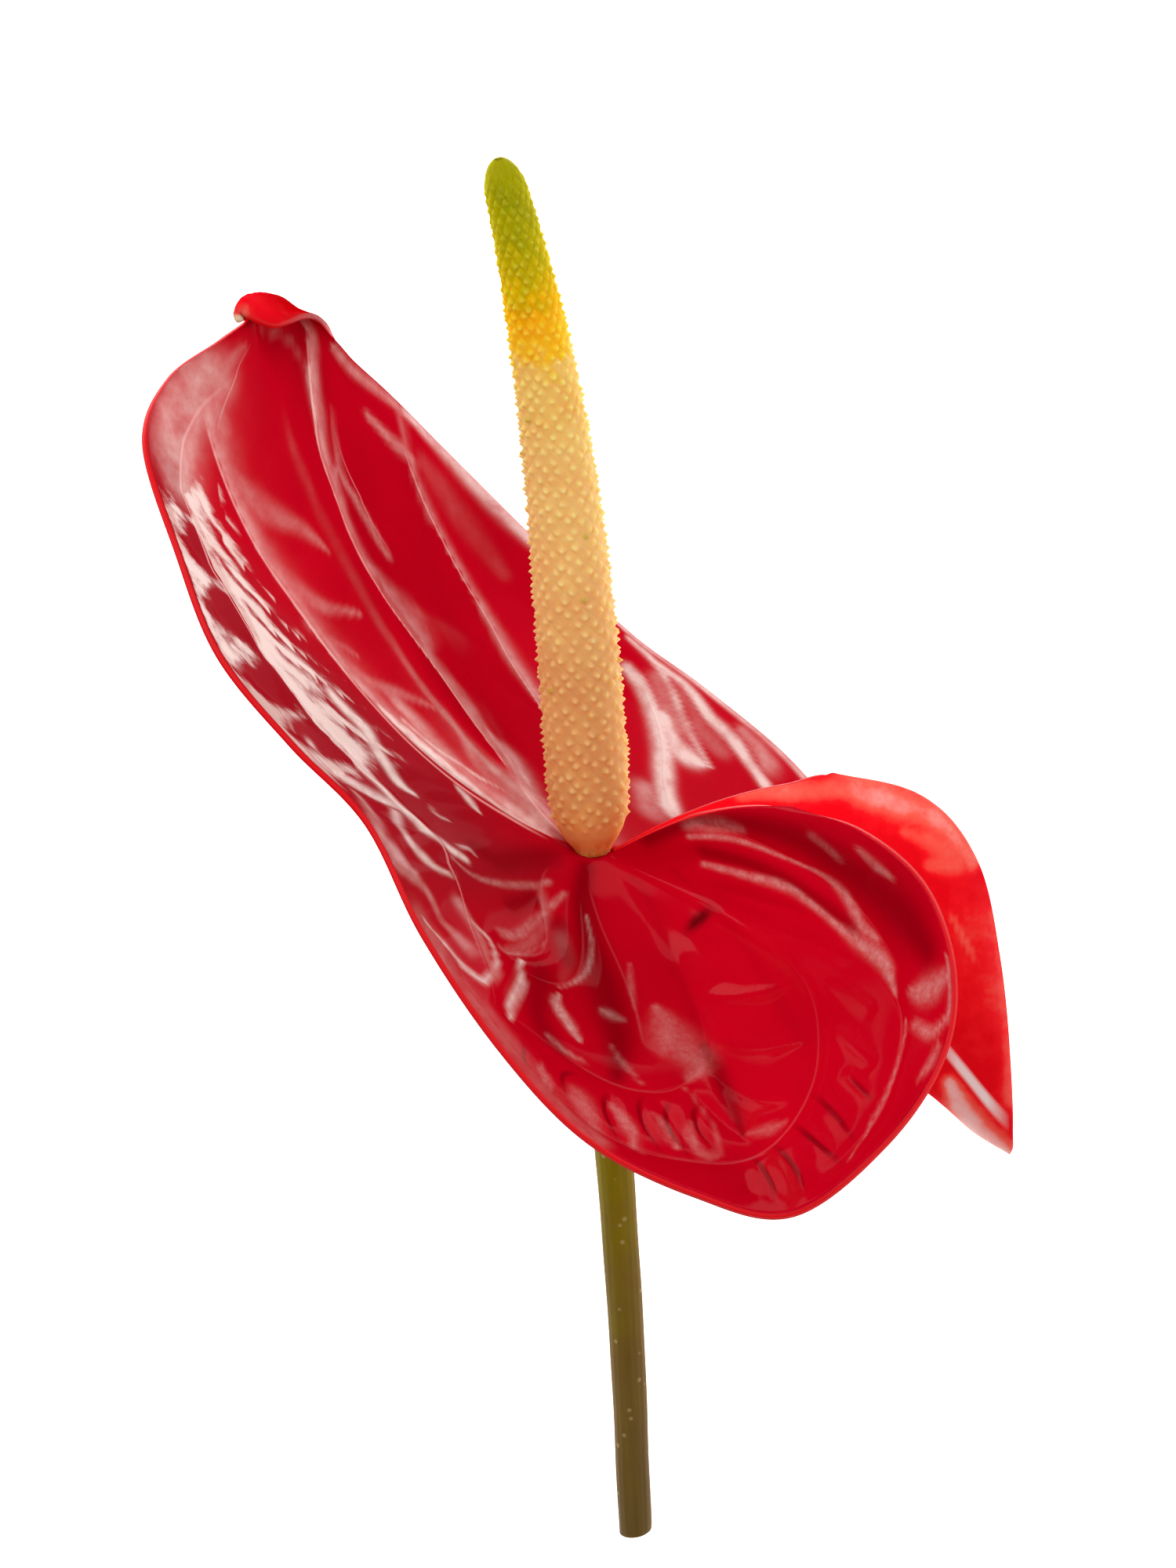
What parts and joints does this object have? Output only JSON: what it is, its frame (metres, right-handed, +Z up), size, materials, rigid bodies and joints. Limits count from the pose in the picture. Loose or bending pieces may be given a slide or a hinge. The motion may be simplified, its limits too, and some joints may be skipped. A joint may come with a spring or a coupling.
{
  "type": "cut anthurium stem",
  "caption": "Cut anthurium stem lying on its side: glossy heart-shaped spathe with raised lobes, tapering floret-covered spadix and a short round peduncle.",
  "frame": {"origin": "on the surface the stem lies on, under the middle of its box", "axes": "+Y along the stem from the cut end towards the tip of the spadix, +Z up from the surface, +X towards the lobes of the spathe"},
  "size_m": [0.1104, 0.1772, 0.087],
  "materials": {
    "peduncle": "satin",
    "spathe": "gloss",
    "spadix": "satin"
  },
  "bodies": {
    "root": {"peduncle": "peduncle", "spathe": "spathe", "spadix": "spadix"}
  },
  "joints": []
}
